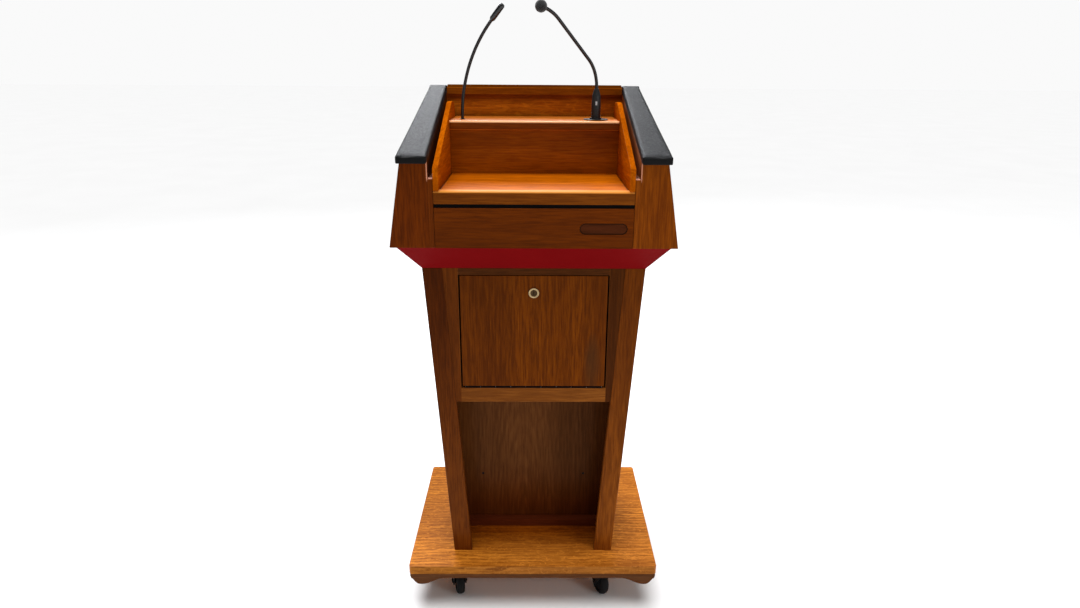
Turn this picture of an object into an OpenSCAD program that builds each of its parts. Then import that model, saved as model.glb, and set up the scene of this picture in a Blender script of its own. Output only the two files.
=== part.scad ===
// Lectern podium on casters: open niche, drop-front locker, reading tray, armrests and gooseneck microphones.
// Millimetres. +Z is up and -Y is the speaker's side.
// The floor is z = 0 and the middle of the footprint is x = y = 0.

/* [Base] */
// Width of the base platform
base_w = 660; // [600:1:720]
// Front-to-back depth of the base platform
base_d = 494; // [470:1:520]
// Height of the platform's top above the floor
base_top = 140; // [136:1:150]
// Thickness of the platform board
base_t = 23; // [18:1:25]

/* [Pedestal] */
// Outer half width of the pedestal where it stands on the base
ped_half_bottom = 215; // [200:1:230]
// Outer half width of the pedestal under the skirt
ped_half_top = 267.5; // [255:0.5:275]
// Height of the pedestal's top above the floor
ped_top = 946; // [930:1:970]
// Visible width of each leg board
leg_w = 48; // [40:1:56]
// Thickness of the carcass boards
board_t = 18; // [15:1:20]

/* [Locker door] */
// Half width of the door opening
door_half_w = 182; // [170:1:186]
// Height of the underside of the lower rail
rail_bottom = 592; // [570:1:600]
// Height of the opening's lower edge
door_bottom = 631.9; // [628:0.1:640]
// Height of the opening's upper edge
door_top = 928.5; // [910:0.5:932]
// Gap beside the door, left and right
door_gap = 3.2; // [2:0.1:4]
// Gap above the door
door_top_gap = 1.4; // [1:0.1:3]
// Height of the lock's axis
lock_z = 884; // [870:1:895]

/* [Desk] */
// Height of the desk's lower edge
desk_bottom = 1011; // [1005:1:1025]
// Outer half width of the desk at its lower edge
desk_half_w = 329; // [320:1:335]
// Inward lean of the desk's sides and audience face, as run over rise
desk_lean = 0.1686; // [0.12:0.0001:0.2]
// Height of the armrest's underside at its speaker end
rest_z = 1200; // [1190:1:1215]
// Slope of the armrests, as rise over run
rest_slope = 0.3077; // [0.25:0.0001:0.36]
// Thickness of an armrest pad
pad_t = 18; // [14:1:24]

/* [Reading tray] */
// Height of the reading surface
tray_z = 1141; // [1130:1:1150]
// Outer half width of the tray
tray_half_w = 224.5; // [218:0.5:224.5]
// Thickness of the tray's side walls
wall_t = 12; // [9:1:14]
// Height of the microphone shelf
shelf_z = 1273; // [1262:1:1280]

/* [Casters] */
// Radius of a caster wheel
wheel_r = 38; // [34:1:38]
// Distance from the swivel axis to the wheel's axle
trail = 27; // [20:1:30]

/* [Hidden] */
$fn = 48;
// Rows of places in the fore-and-aft direction, named by what they locate
base_near = -243.5;
base_far = base_near + base_d;
ped_near = -174.5;
ped_far_top = 187.5;
ped_run = (ped_half_top - ped_half_bottom) / (ped_top - base_top);
frame_recess = 1;
frame_near = ped_near + frame_recess;
carcass_near = ped_near + board_t;
niche_back = -43.5;
niche_back_t = 12;
locker_floor_z = 597;
desk_near = -237;
desk_far = 250;
desk_carcass_near = desk_near + board_t;
desk_floor_t = 12;
pad_near = -250.5;
pad_far = 193;
pad_inner = 234;
pad_outer_near = 304.5;
pad_outer_far = 282.5;
pad_corner_r = 7;
lining_in = 236;
lining_out = 248;
runner_in = 225.5;
runner_top = 1168;
tray_lip_d = 20;
tray_lip_bottom = 1111.5;
tray_floor_t = 18;
tray_back_y = 26.5;
tray_back_t = 12;
shelf_near = 12.5;
shelf_far = 186;
shelf_t = 22;
wall_far = 156.5;
rear_panel_top = 1103;
rear_panel_half = 224.5;
caster_x = 199;
caster_near_y = -196;
caster_far_y = 203;
caster_plate_z = base_top - base_t;
hinge_y = -172;
hinge_z = 633.5;
hinge_half = 172;
knuckle_r = 2.3;
leaf_t = 1.2;
big = 1600;

function ped_x(z) = ped_half_bottom + ped_run * (z - base_top);
function ped_far(z) = ped_far_top - ped_run * (ped_top - z);
function desk_x(z) = desk_half_w - desk_lean * (z - desk_bottom);
function desk_y(z) = desk_far - desk_lean * (z - desk_bottom);
function rest_under(y) = rest_z + rest_slope * (y - pad_near);

wood = [0.55, 0.28, 0.1];
wood_light = [0.72, 0.4, 0.15];
wood_dark = [0.4, 0.18, 0.07];
black = [0.08, 0.08, 0.09];
steel = [0.6, 0.6, 0.62];
brass = [0.75, 0.62, 0.35];
crimson = [0.5, 0.06, 0.1];
vinyl = [0.22, 0.23, 0.25];

// ---------- helpers ----------

// A profile drawn in x and z, run from y0 to y1
module along_y(points, y0, y1) {
    translate([0, y1, 0]) rotate([90, 0, 0]) linear_extrude(y1 - y0) polygon(points);
}

// A profile drawn in y and z, run from x0 to x1
module along_x(points, x0, x1) {
    translate([x0, 0, 0]) rotate([90, 0, 90]) linear_extrude(x1 - x0) polygon(points);
}

// A box from its lowest to its highest corner
module block(lo, hi) {
    translate(lo) cube(hi - lo);
}

// A round bar along y
module bar_y(r, x, y0, y1, z) {
    translate([x, y1, z]) rotate([90, 0, 0]) cylinder(r = r, h = y1 - y0);
}

// A round bar along x
module bar_x(r, x0, x1, y, z) {
    translate([x0, y, z]) rotate([0, 90, 0]) cylinder(r = r, h = x1 - x0);
}

module mirrored() {
    mirror([1, 0, 0]) children();
}

// The space inside the pedestal's side boards, between the heights z0 and z1 and back to the audience panel
module pedestal_inside(z0, z1, y0) {
    intersection() {
        along_y([
            [-ped_x(z0) + board_t, z0],
            [ped_x(z0) - board_t, z0],
            [ped_x(z1) - board_t, z1],
            [-ped_x(z1) + board_t, z1]
        ], y0, big);
        along_x([
            [y0, z0],
            [ped_far(z0) - board_t, z0],
            [ped_far(z1) - board_t, z1],
            [y0, z1]
        ], -big, big);
    }
}

// The part of space under the sloping underside of the armrests
module under_rests(y0, y1, z0) {
    along_x([
        [y0, z0],
        [y1, z0],
        [y1, rest_under(y1)],
        [y0, rest_under(y0)]
    ], -big, big);
}

// ---------- base ----------

platform_r = 8;
apron_inset = 2;
apron_t = 18;
apron_mid_z = 102;
// The wave under an apron's end: distance from the corner, then height
apron_wave = [
    [0, 110],
    [4, 103.5],
    [8, 97],
    [13, 90],
    [19, 84.8],
    [25, 82.8],
    [31, 82.4],
    [38, 83.2],
    [48, 86.2],
    [58, 90.8],
    [68, 95.8],
    [78, 99.8],
    [88, 101.6],
    [98, apron_mid_z]
];
screw_shank_r = 1.9;
screw_head_r = 4;
screw_head_t = 2;
screw_long = 16;
plate_half_x = 33;
plate_half_y = 24;
caster_plate_t = 3;
plate_hole_x = 25;
plate_hole_y = 17;

caster_places = [
    [-caster_x, caster_near_y],
    [caster_x, caster_near_y],
    [-caster_x, caster_far_y],
    [caster_x, caster_far_y]
];
caster_turn_near_left = 14;
caster_turn_near_right = 22;
caster_turn_far_left = 172;
caster_turn_far_right = 165;

module at_caster_screws() {
    for (c = caster_places)
        for (sx = [-1, 1])
            for (sy = [-1, 1])
                translate([c[0] + sx * plate_hole_x, c[1] + sy * plate_hole_y, 0])
                    children();
}

module platform_outline() {
    half = base_w / 2;
    r = platform_r;
    translate([-half + r, base_near]) square([base_w - 2 * r, base_d]);
    translate([-half, base_near + r]) square([base_w, base_d - 2 * r]);
    for (x = [-half + r, half - r])
        for (y = [base_near + r, base_far - r])
            translate([x, y]) circle(r = r);
}

module base_platform() {
    color(wood_light) difference() {
        translate([0, 0, base_top - base_t]) linear_extrude(base_t) platform_outline();
        at_caster_screws() translate([0, 0, caster_plate_z - 1])
            cylinder(r = screw_shank_r + 0.1, h = screw_long);
    }
}

// An apron board's face: straight top, waved bottom, from -half to half
function apron_face(half) = concat(
    [[-half, caster_plate_z]],
    [for (p = apron_wave) [-half + p[0], p[1]]],
    [for (i = [len(apron_wave) - 1 : -1 : 0]) [half - apron_wave[i][0], apron_wave[i][1]]],
    [[half, caster_plate_z]]
);

// One apron board, mitred at both ends, its outer face on y = 0 and its thickness towards +y
module apron_board(half) {
    intersection() {
        along_y(apron_face(half), 0, apron_t);
        linear_extrude(caster_plate_z)
            polygon([[-half, 0], [half, 0], [half - apron_t, apron_t], [-half + apron_t, apron_t]]);
    }
}

module base_apron_frame() {
    half_x = base_w / 2 - apron_inset;
    half_y = base_d / 2 - apron_inset;
    mid_y = (base_near + base_far) / 2;
    color(wood_dark) union() {
        translate([0, base_near + apron_inset, 0]) apron_board(half_x);
        translate([0, base_far - apron_inset, 0]) rotate([0, 0, 180]) apron_board(half_x);
        translate([-half_x, mid_y, 0]) rotate([0, 0, -90]) apron_board(half_y);
        translate([half_x, mid_y, 0]) rotate([0, 0, 90]) apron_board(half_y);
    }
}

// ---------- casters ----------

race_r = 20;
race_z = 108;
pin_r = 6;
pin_head_r = 9;
pin_head_z = 93.8;
crown_bottom = 97;
crown_top = 107.7;
axle_r = 4;
axle_head_r = 6.5;
fork_in = 15;
fork_out = 18;
fork_leg = [
    [-17, 101],
    [-17, 88],
    [trail - 13, 46],
    [trail - 11, 32],
    [trail - 6, 27],
    [trail + 6, 27],
    [trail + 11, 32],
    [trail + 13, 46],
    [17, 101]
];
wheel_profile = [
    [axle_r + 0.05, -12.5],
    [10, -13.5],
    [13.5, -8],
    [wheel_r - 12.5, -8],
    [wheel_r - 9.5, -11],
    [wheel_r - 6, -10.6],
    [wheel_r - 3, -8.6],
    [wheel_r - 1.1, -5.8],
    [wheel_r - 0.3, -3],
    [wheel_r, -1],
    [wheel_r, 1],
    [wheel_r - 0.3, 3],
    [wheel_r - 1.1, 5.8],
    [wheel_r - 3, 8.6],
    [wheel_r - 6, 10.6],
    [wheel_r - 9.5, 11],
    [wheel_r - 12.5, 8],
    [13.5, 8],
    [10, 13.5],
    [axle_r + 0.05, 12.5]
];

module caster_mounting_plates() {
    color(black) for (c = caster_places)
        translate([c[0], c[1], 0]) difference() {
            union() {
                block([-plate_half_x, -plate_half_y, caster_plate_z - caster_plate_t],
                      [plate_half_x, plate_half_y, caster_plate_z]);
                translate([0, 0, race_z]) cylinder(r = race_r, h = caster_plate_z - race_z - 1);
                translate([0, 0, pin_head_z + 3]) cylinder(r = pin_r, h = race_z - pin_head_z);
                translate([0, 0, pin_head_z]) cylinder(r = pin_head_r, h = 3);
            }
            for (sx = [-1, 1])
                for (sy = [-1, 1])
                    translate([sx * plate_hole_x, sy * plate_hole_y, caster_plate_z - caster_plate_t - 1])
                        cylinder(r = screw_shank_r + 0.3, h = caster_plate_t + 2);
        }
}

module caster_screws() {
    color(steel) at_caster_screws() union() {
        translate([0, 0, caster_plate_z - caster_plate_t - screw_head_t])
            cylinder(r = screw_head_r, h = screw_head_t);
        translate([0, 0, caster_plate_z - caster_plate_t]) cylinder(r = screw_shank_r, h = screw_long);
    }
}

module at_caster(i, turn) {
    translate([caster_places[i][0], caster_places[i][1], 0]) rotate([0, 0, turn]) children();
}

module caster_fork() {
    color(black) union() {
        difference() {
            translate([0, 0, crown_bottom]) cylinder(r = race_r, h = crown_top - crown_bottom);
            translate([0, 0, crown_bottom - 1])
                cylinder(r = pin_r + 0.05, h = crown_top - crown_bottom + 2);
        }
        difference() {
            union() {
                along_x(fork_leg, -fork_out, -fork_in);
                along_x(fork_leg, fork_in, fork_out);
                block([-fork_out, -17, crown_bottom], [fork_out, 17, crown_bottom + 4]);
            }
            translate([0, 0, crown_bottom - 1]) cylinder(r = pin_r + 0.05, h = 8);
        }
        bar_x(axle_r, -fork_out - 1, fork_out + 1, trail, wheel_r);
        bar_x(axle_head_r, -fork_out - 3, -fork_out, trail, wheel_r);
        bar_x(axle_head_r, fork_out, fork_out + 3, trail, wheel_r);
    }
}

module caster_wheel() {
    color(black) translate([0, trail, wheel_r]) rotate([0, 90, 0]) rotate_extrude() polygon(wheel_profile);
}

module caster_fork_near_left() {
    at_caster(0, caster_turn_near_left) caster_fork();
}

module caster_fork_near_right() {
    at_caster(1, caster_turn_near_right) caster_fork();
}

module caster_fork_far_left() {
    at_caster(2, caster_turn_far_left) caster_fork();
}

module caster_fork_far_right() {
    at_caster(3, caster_turn_far_right) caster_fork();
}

module caster_wheel_near_left() {
    at_caster(0, caster_turn_near_left) caster_wheel();
}

module caster_wheel_near_right() {
    at_caster(1, caster_turn_near_right) caster_wheel();
}

module caster_wheel_far_left() {
    at_caster(2, caster_turn_far_left) caster_wheel();
}

module caster_wheel_far_right() {
    at_caster(3, caster_turn_far_right) caster_wheel();
}

// ---------- pedestal ----------

module pedestal_left_side() {
    color(wood) intersection() {
        along_y([
            [-ped_x(base_top), base_top],
            [-ped_x(base_top) + board_t, base_top],
            [-ped_x(ped_top) + board_t, ped_top],
            [-ped_x(ped_top), ped_top]
        ], carcass_near, big);
        along_x([
            [carcass_near, base_top],
            [ped_far(base_top) - board_t, base_top],
            [ped_far(ped_top) - board_t, ped_top],
            [carcass_near, ped_top]
        ], -big, big);
    }
}

module pedestal_right_side() {
    mirrored() pedestal_left_side();
}

module pedestal_audience_panel() {
    color(wood) intersection() {
        along_y([
            [-ped_x(base_top), base_top],
            [ped_x(base_top), base_top],
            [ped_x(ped_top), ped_top],
            [-ped_x(ped_top), ped_top]
        ], 0, big);
        along_x([
            [ped_far(base_top) - board_t, base_top],
            [ped_far(base_top), base_top],
            [ped_far(ped_top), ped_top],
            [ped_far(ped_top) - board_t, ped_top]
        ], -big, big);
    }
}

module left_leg_board() {
    color(wood) along_y([
        [-ped_x(base_top), base_top],
        [-ped_x(base_top) + leg_w, base_top],
        [-ped_x(ped_top) + leg_w, ped_top],
        [-ped_x(ped_top), ped_top]
    ], ped_near, carcass_near);
}

module right_leg_board() {
    mirrored() left_leg_board();
}

cleat_size = 22;
panel_screw_x = 142.5;
panel_screw_z = 301;
panel_screw_r = 3.2;

module niche_back_panel() {
    color(wood_dark) difference() {
        intersection() {
            pedestal_inside(base_top, locker_floor_z, niche_back);
            block([-big, niche_back, 0], [big, niche_back + niche_back_t, big]);
        }
        for (x = [-panel_screw_x, panel_screw_x])
            bar_y(panel_screw_r + 0.1, x, niche_back - 1, niche_back + 6.1, panel_screw_z);
    }
}

module niche_back_cleat() {
    half = ped_half_bottom - board_t;
    color(wood_dark) block([-half, niche_back - cleat_size, base_top],
                           [half, niche_back, base_top + cleat_size]);
}

module niche_panel_screws() {
    color(black) for (x = [-panel_screw_x, panel_screw_x]) difference() {
        bar_y(panel_screw_r, x, niche_back - 0.6, niche_back + 6, panel_screw_z);
        block([x - 2.4, niche_back - 1, panel_screw_z - 0.4],
              [x + 2.4, niche_back + 0.4, panel_screw_z + 0.4]);
    }
}

module locker_floor() {
    color(wood_dark) pedestal_inside(locker_floor_z, locker_floor_z + board_t, carcass_near);
}

// ---------- locker door ----------

relief_d = 4.6;
relief_z = 1;

module door_face_frame() {
    color(wood) difference() {
        along_y([
            [-ped_x(rail_bottom) + leg_w, rail_bottom],
            [ped_x(rail_bottom) - leg_w, rail_bottom],
            [ped_x(ped_top) - leg_w, ped_top],
            [-ped_x(ped_top) + leg_w, ped_top]
        ], frame_near, carcass_near);
        block([-door_half_w, frame_near - 1, door_bottom], [door_half_w, carcass_near + 1, door_top]);
        block([-door_half_w, frame_near - 1, door_bottom - relief_z],
              [door_half_w, frame_near + relief_d, door_bottom + 1]);
    }
}

lock_bore_r = 9.6;
door_lower = hinge_z + 1.6;

module locker_door() {
    half = door_half_w - door_gap;
    color(wood) difference() {
        block([-half, frame_near, door_lower], [half, carcass_near + 1, door_top - door_top_gap]);
        block([-half - 1, frame_near - 1, door_lower - 1],
              [half + 1, frame_near + relief_d, door_lower + relief_z]);
        bar_y(lock_bore_r, 0, frame_near - 1, carcass_near + 2, lock_z);
    }
}

// Knuckles alternate between the two leaves: even ones on the frame's, odd ones on the door's
knuckle_count = 9;
knuckle_step = 2 * hinge_half / knuckle_count;
knuckle_gap = 0.3;
pin_bore_r = 1.15;
leaf_back = carcass_near - 1;

module hinge_knuckles(first) {
    for (i = [first : 2 : knuckle_count - 1])
        bar_x(knuckle_r, -hinge_half + i * knuckle_step + knuckle_gap,
              -hinge_half + (i + 1) * knuckle_step - knuckle_gap, hinge_y, hinge_z);
}

module hinge_bore() {
    bar_x(pin_bore_r, -hinge_half - 1, hinge_half + 1, hinge_y, hinge_z);
}

// Room for the other leaf's knuckles
module knuckle_room(first) {
    for (i = [first : 2 : knuckle_count - 1])
        block([-hinge_half + i * knuckle_step - knuckle_gap, hinge_y - 4, hinge_z - 4],
              [-hinge_half + (i + 1) * knuckle_step + knuckle_gap, hinge_y + knuckle_r + 0.5, hinge_z + 4]);
}

module hinge_frame_leaf() {
    color(black) difference() {
        union() {
            difference() {
                block([-hinge_half, hinge_y, door_bottom], [hinge_half, leaf_back, door_bottom + leaf_t]);
                knuckle_room(1);
            }
            hinge_knuckles(0);
        }
        hinge_bore();
    }
}

module hinge_door_leaf() {
    color(black) difference() {
        union() {
            difference() {
                block([-hinge_half, hinge_y, door_lower - leaf_t], [hinge_half, leaf_back, door_lower]);
                knuckle_room(0);
            }
            hinge_knuckles(1);
        }
        hinge_bore();
    }
}

module hinge_pin() {
    color(steel) bar_x(1.1, -hinge_half, hinge_half, hinge_y, hinge_z);
}

bezel_r = 13;
bezel_t = 2.5;
bezel_in_r = 9.5;
plug_r = 6.5;
plug_head_r = 8;
lock_back = -148.5;
nut_r = 14;
nut_t = 4;
cam_t = 2.4;
cam_long = 56;
cam_w = 16;

module lock_body() {
    color(brass) difference() {
        union() {
            bar_y(bezel_r, 0, frame_near - bezel_t, frame_near, lock_z);
            bar_y(bezel_in_r, 0, frame_near, lock_back, lock_z);
        }
        bar_y(plug_r + 0.06, 0, frame_near - bezel_t - 1, lock_back + 1, lock_z);
        bar_y(plug_head_r + 0.1, 0, frame_near - bezel_t - 1, frame_near + 1.1, lock_z);
    }
}

module lock_nut() {
    color(steel) difference() {
        translate([0, carcass_near + 1 + nut_t, lock_z]) rotate([90, 0, 0])
            cylinder(r = nut_r, h = nut_t, $fn = 6);
        bar_y(bezel_in_r + 0.05, 0, carcass_near, carcass_near + nut_t + 2, lock_z);
    }
}

module lock_plug() {
    color(brass) difference() {
        union() {
            bar_y(plug_head_r, 0, frame_near - 1.6, frame_near + 1, lock_z);
            bar_y(plug_r, 0, frame_near + 1, lock_back + 0.4, lock_z);
            block([-3.5, lock_back + 0.4, lock_z - 3.5], [3.5, lock_back + 0.4 + cam_t, lock_z + 3.5]);
            bar_y(6, 0, lock_back + 0.4 + cam_t, lock_back + cam_t + 2.4, lock_z);
        }
        block([-0.9, frame_near - 3, lock_z - 4.6], [0.9, frame_near + 12, lock_z + 4.6]);
    }
}

// The cam lies level, pointing left, when unlocked; a quarter turn brings it up behind the top rail
module lock_cam() {
    y0 = lock_back + 0.4;
    color(steel) difference() {
        union() {
            bar_y(cam_w / 2, 0, y0, y0 + cam_t, lock_z);
            block([-cam_long + 4, y0, lock_z - cam_w / 2 + 1], [0, y0 + cam_t, lock_z + cam_w / 2 - 1]);
            block([-cam_long, y0, lock_z - cam_w / 2 + 3],
                  [-cam_long + 4, y0 + cam_t, lock_z + cam_w / 2 - 3]);
        }
        block([-3.55, y0 - 1, lock_z - 3.55], [3.55, y0 + cam_t + 1, lock_z + 3.55]);
    }
}

// ---------- skirt ----------

skirt_half_top = 318;
skirt_near_top = -226;
skirt_far_top = 239;
skirt_t = 20;

module skirt_solid(inset, over) {
    rise = desk_bottom - ped_top;
    run_x = (skirt_half_top - ped_half_top) / rise;
    run_near = (ped_near - skirt_near_top) / rise;
    run_far = (skirt_far_top - ped_far_top) / rise;
    intersection() {
        along_y([
            [-ped_half_top + inset + over * run_x, ped_top - over],
            [ped_half_top - inset - over * run_x, ped_top - over],
            [skirt_half_top - inset + over * run_x, desk_bottom + over],
            [-skirt_half_top + inset - over * run_x, desk_bottom + over]
        ], -big, big);
        along_x([
            [ped_near + inset + over * run_near, ped_top - over],
            [ped_far_top - inset - over * run_far, ped_top - over],
            [skirt_far_top - inset + over * run_far, desk_bottom + over],
            [skirt_near_top + inset - over * run_near, desk_bottom + over]
        ], -big, big);
    }
}

module skirt_frame() {
    color(crimson) difference() {
        skirt_solid(0, 0);
        skirt_solid(skirt_t, 1);
    }
}

// ---------- desk ----------

module desk_floor() {
    z1 = desk_bottom + desk_floor_t;
    color(wood_dark) intersection() {
        along_y([
            [-desk_x(desk_bottom) + board_t, desk_bottom],
            [desk_x(desk_bottom) - board_t, desk_bottom],
            [desk_x(z1) - board_t, z1],
            [-desk_x(z1) + board_t, z1]
        ], desk_carcass_near, big);
        along_x([
            [desk_carcass_near, desk_bottom],
            [desk_y(desk_bottom) - board_t, desk_bottom],
            [desk_y(z1) - board_t, z1],
            [desk_carcass_near, z1]
        ], -big, big);
    }
}

desk_high = 1360;

module desk_left_side() {
    color(wood) intersection() {
        along_y([
            [-desk_x(desk_bottom), desk_bottom],
            [-desk_x(desk_bottom) + board_t, desk_bottom],
            [-desk_x(desk_high) + board_t, desk_high],
            [-desk_x(desk_high), desk_high]
        ], desk_carcass_near, big);
        along_x([
            [desk_carcass_near, desk_bottom],
            [desk_y(desk_bottom) - board_t, desk_bottom],
            [desk_y(desk_high) - board_t, desk_high],
            [desk_carcass_near, desk_high]
        ], -big, big);
        under_rests(desk_near, desk_far, desk_bottom);
    }
}

module desk_right_side() {
    mirrored() desk_left_side();
}

module desk_audience_panel() {
    color(wood) intersection() {
        along_y([
            [-desk_x(desk_bottom), desk_bottom],
            [desk_x(desk_bottom), desk_bottom],
            [desk_x(desk_high), desk_high],
            [-desk_x(desk_high), desk_high]
        ], 0, big);
        along_x([
            [desk_y(desk_bottom) - board_t, desk_bottom],
            [desk_y(desk_bottom), desk_bottom],
            [desk_y(desk_high), desk_high],
            [desk_y(desk_high) - board_t, desk_high]
        ], -big, big);
        under_rests(desk_near, desk_far, desk_bottom);
    }
}

module desk_left_rear_board() {
    color(wood) intersection() {
        along_y([
            [-desk_x(desk_bottom), desk_bottom],
            [-lining_in, desk_bottom],
            [-lining_in, desk_high],
            [-desk_x(desk_high), desk_high]
        ], desk_near, desk_carcass_near);
        under_rests(desk_near, desk_far, desk_bottom);
    }
}

module desk_right_rear_board() {
    mirrored() desk_left_rear_board();
}

plate_x0 = 103.6;
plate_x1 = 210.4;
plate_z = 1056.3;
name_plate_r = 12;
plate_pocket = 2.2;
plate_t = 1.3;

module pill(grow, y0, y1) {
    r = name_plate_r + grow;
    bar_y(r, plate_x0 + name_plate_r, y0, y1, plate_z);
    bar_y(r, plate_x1 - name_plate_r, y0, y1, plate_z);
    block([plate_x0 + name_plate_r, y0, plate_z - r], [plate_x1 - name_plate_r, y1, plate_z + r]);
}

module desk_rear_panel() {
    color(wood) difference() {
        block([-rear_panel_half, desk_near, desk_bottom],
              [rear_panel_half, desk_carcass_near, rear_panel_top]);
        pill(0.9, desk_near - 1, desk_near + plate_pocket);
    }
}

module blank_name_plate() {
    color(wood_dark) pill(0, desk_near + plate_pocket - plate_t, desk_near + plate_pocket);
}

module desk_left_inner_side() {
    z1 = desk_bottom + desk_floor_t;
    far_bottom = desk_y(z1) - board_t;
    far_high = desk_y(desk_high) - board_t;
    color(wood) union() {
        intersection() {
            along_x([
                [desk_carcass_near, z1],
                [far_bottom, z1],
                [far_high, desk_high],
                [desk_carcass_near, desk_high]
            ], -lining_out, -lining_in);
            under_rests(desk_near, desk_far, desk_bottom);
        }
        block([-lining_in, desk_carcass_near, z1], [-runner_in, shelf_far, runner_top]);
        block([-lining_in, desk_near, desk_bottom], [-runner_in, desk_carcass_near, runner_top]);
    }
}

module desk_right_inner_side() {
    mirrored() desk_left_inner_side();
}

rail_near = 169;

module desk_top_rail() {
    color(wood_light) along_x([
        [rail_near, rest_under(rail_near)],
        [pad_far, rest_under(pad_far)],
        [pad_far, rest_under(pad_far) + pad_t],
        [rail_near, rest_under(rail_near) + pad_t]
    ], -pad_inner, pad_inner);
}

// The pad's plan outline, with rounded corners at its speaker end
module pad_plan() {
    r = pad_corner_r;
    lean = (pad_outer_near - pad_outer_far) / (pad_far - pad_near);
    difference() {
        polygon([
            [-pad_outer_near, pad_near],
            [-pad_inner, pad_near],
            [-pad_inner, pad_far],
            [-pad_outer_far, pad_far]
        ]);
        translate([-pad_inner - r, pad_near - 1]) square([r + 1, r + 1]);
        translate([-pad_outer_near - 1, pad_near - 1]) square([r + 1 + lean * r, r + 1]);
    }
    translate([-pad_inner - r, pad_near + r]) circle(r = r);
    translate([-pad_outer_near + r + lean * r, pad_near + r]) circle(r = r);
}

module left_armrest_pad() {
    color(vinyl) intersection() {
        translate([0, 0, rest_z - 10]) linear_extrude(big) pad_plan();
        along_x([
            [pad_near, rest_under(pad_near)],
            [pad_far, rest_under(pad_far)],
            [pad_far, rest_under(pad_far) + pad_t],
            [pad_near, rest_under(pad_near) + pad_t]
        ], -big, big);
    }
}

module right_armrest_pad() {
    mirrored() left_armrest_pad();
}

// ---------- reading tray ----------

tray_in = tray_half_w - wall_t;
lip_round = 7;
tray_joint = 1.4;

module tray_floor() {
    half = tray_in - tray_joint;
    color(wood_light) block([-half, desk_near + tray_lip_d, tray_z - tray_floor_t],
                            [half, tray_back_y, tray_z]);
}

module tray_lip() {
    y1 = desk_near + tray_lip_d;
    color(wood_light) union() {
        block([-tray_half_w, desk_near, tray_lip_bottom], [tray_half_w, y1, tray_z - lip_round]);
        block([-tray_half_w, desk_near + lip_round, tray_z - lip_round - 1], [tray_half_w, y1, tray_z]);
        bar_x(lip_round, -tray_half_w, tray_half_w, desk_near + lip_round, tray_z - lip_round);
    }
}

// A side wall's outline in y and z: upright near end, sloping top, a short crest and a rounded far corner
wall_near_top = 1190;
wall_near_round = 9;
wall_crest_y = 74;
wall_crest_z = 1314;
wall_round = 34;
wall_slope = 24.5;

function wall_corner(y, z, r, from, to) = [
    for (a = [from : (to - from) / 8 : to + 0.01]) [y + r * cos(a), z + r * sin(a)]
];

wall_outline = concat(
    [[desk_near, tray_z]],
    wall_corner(desk_near + wall_near_round, wall_near_top - wall_near_round * 0.65, wall_near_round,
                180, 90 + wall_slope),
    [[wall_crest_y, wall_crest_z - 2.5]],
    [[wall_crest_y + 12, wall_crest_z]],
    wall_corner(wall_far - wall_round, wall_crest_z - wall_round, wall_round, 90, 0),
    [
        [wall_far, tray_lip_bottom],
        [desk_near + tray_lip_d, tray_lip_bottom],
        [desk_near + tray_lip_d, tray_z]
    ]
);

module tray_left_wall() {
    color(wood_light) along_x(wall_outline, -tray_half_w, -tray_in);
}

module tray_right_wall() {
    mirrored() tray_left_wall();
}

module tray_back_panel() {
    color(wood) block([-tray_in, tray_back_y, tray_z - tray_floor_t],
                      [tray_in, tray_back_y + tray_back_t, shelf_z - shelf_t]);
}

module microphone_shelf() {
    color(wood_light) difference() {
        block([-tray_in, shelf_near, shelf_z - shelf_t], [tray_in, shelf_far, shelf_z]);
        translate([left_foot[0], left_foot[1], shelf_z - shelf_t - 1])
            cylinder(r = 6.2, h = shelf_t + 2);
        translate([right_foot[0], right_foot[1], shelf_z - shelf_t - 1])
            cylinder(r = 12.3, h = shelf_t + 2);
    }
}

module tray_rest_strip() {
    color(black) block([-rear_panel_half, desk_near + 2, rear_panel_top],
                       [rear_panel_half, desk_near + tray_lip_d, tray_lip_bottom]);
}

// ---------- microphones ----------

left_foot = [-183.8, 67.5];
left_lean = -27;
left_bend_r = 335.7;
left_bend = 42.7;
left_split = 25;
left_straight = 6.5;
neck_r = 4.1;
right_foot = [156.5, 64];
right_lean = 222;
right_straight = 79.2;
right_plug_shoulder = 60;
right_plug_top = 77;
right_bend_r = 88.8;
right_bend = 49.7;
right_reach = 136.3;
right_end_r = 108.3;
right_end_bend = 25.7;
right_neck_r = 4.2;

// A bent length is this much slimmer than the straight one it runs on from, and starts this far back in it
neck_ease = 0.02;
neck_overlap = 0.6;

// A round bar bent to an arc that starts upright at the origin and leans towards +x
module arc_bar(r, bend_r, from, to) {
    translate([bend_r, 0, 0]) rotate([90, 0, 0]) rotate([0, 0, 180 - to])
        rotate_extrude(angle = to - from) translate([bend_r, 0]) circle(r = r);
}

module at_left_foot() {
    translate([left_foot[0], left_foot[1], shelf_z]) rotate([0, 0, left_lean]) children();
}

module at_right_foot() {
    translate([right_foot[0], right_foot[1], shelf_z]) rotate([0, 0, right_lean]) children();
}

module left_mic_base() {
    color(black) at_left_foot() difference() {
        union() {
            cylinder(r = 7.5, h = 1.2);
            translate([0, 0, -shelf_t]) cylinder(r = 6, h = shelf_t + 1);
            translate([0, 0, -shelf_t - 5]) cylinder(r = 10, h = 5, $fn = 6);
        }
        translate([0, 0, -20]) cylinder(r = neck_r, h = 40);
    }
}

module left_mic_lower_neck() {
    color(black) at_left_foot() union() {
        translate([0, 0, -20]) cylinder(r = neck_r, h = 20 + left_straight);
        translate([0, 0, left_straight - neck_overlap])
            arc_bar(neck_r - neck_ease, left_bend_r, 0, left_split);
    }
}

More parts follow.
